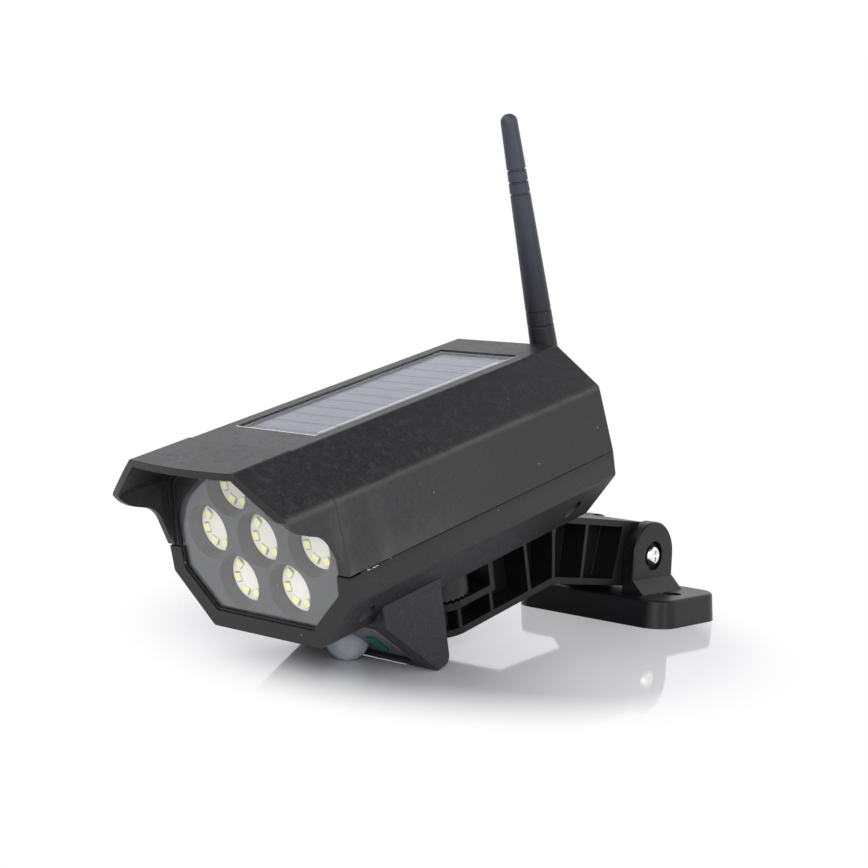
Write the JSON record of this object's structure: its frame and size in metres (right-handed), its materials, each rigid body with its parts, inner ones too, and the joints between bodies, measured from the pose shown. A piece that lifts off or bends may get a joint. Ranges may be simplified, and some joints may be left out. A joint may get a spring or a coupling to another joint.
{
  "type": "security camera",
  "caption": "Bullet-shaped security camera head with a lamp face under a visor, solar roof, motion sensor wedge and rear aerial, on a ribbed arm with a tilting wall base.",
  "frame": {"origin": "centre of the base plate's mounting face, midway between its two wall-screw holes", "axes": "+Z out of the mounting face, lamp face and visor towards -Y, +X along the hinge bolt to the bolt's head"},
  "size_m": [0.1008, 0.3097, 0.2269],
  "materials": {
    "shell_black": "fine moulded grain",
    "bracket_black": "smooth satin",
    "aerial_black": "matte",
    "lens_clear": "clear polycarbonate",
    "cup_grey": "satin grey",
    "board_white": "white solder mask",
    "lamp_yellow": "phosphor gel",
    "solar_blue": "dark cell sheet",
    "ribbon_silver": "printed silver",
    "cover_clear": "clear epoxy skin",
    "plate_grey": "satin",
    "dome_frost": "frosted polyethylene",
    "button_green": "satin",
    "can_metal": "plain can",
    "board_green": "green solder mask",
    "cell_sleeve": "shrink sleeve over a steel can",
    "screw_steel": "zinc plate",
    "bolt_chrome": "bright nickel plate"
  },
  "bodies": {
    "base": {"wall_base": "bracket_black", "hinge_bolt": "bolt_chrome", "hinge_nut": "screw_steel"},
    "arm": {"bracket_arm": "bracket_black"},
    "aerial": {"aerial_elbow": "aerial_black", "aerial_whip": "aerial_black"},
    "button": {"mode_button": "button_green"},
    "head": {"swivel_screw": "screw_steel", "swivel_washer": "screw_steel", "visor_hood": "shell_black", "upper_shell": "shell_black", "lower_shell": "shell_black", "shell_screws": "screw_steel", "front_lens": "lens_clear", "reflector_panel": "cup_grey", "led_board": "board_white", "led_chips": "lamp_yellow", "board_screws": "screw_steel", "solar_cells": "solar_blue", "solar_ribbon": "ribbon_silver", "solar_cover": "cover_clear", "sensor_shroud": "shell_black", "shroud_screws": "screw_steel", "sensor_plate": "plate_grey", "sensor_dome": "dome_frost", "sensor_can": "can_metal", "sensor_board": "board_green", "control_board": "board_green", "control_screws": "screw_steel", "battery_trough": "bracket_black", "battery_cell": "cell_sleeve", "aerial_socket": "bracket_black"}
  },
  "joints": [
    {"name": "bracket_tilt", "type": "hinge", "parent": "base", "child": "arm", "pos_m": [0, 0, 0.0296], "axis": [-1, 0, 0], "range_deg": [0, 115]},
    {"name": "head_swivel", "type": "hinge", "parent": "arm", "child": "head", "pos_m": [0, -0.13364, 0.02167], "axis": [0, -0.2419, 0.9703], "range_deg": [-90, 90]},
    {"name": "aerial_turn", "type": "hinge", "parent": "head", "child": "aerial", "pos_m": [0.014, -0.08881, 0.11663], "axis": [0, 0.9489, 0.3156], "range_deg": [-90, 90]},
    {"name": "mode_press", "type": "slide", "parent": "head", "child": "button", "axis": [0, 0.532, 0.8468], "range_m": [0, 0.0008], "stiffness_N_per_m": 900, "springref_m": -0.0006}
  ]
}
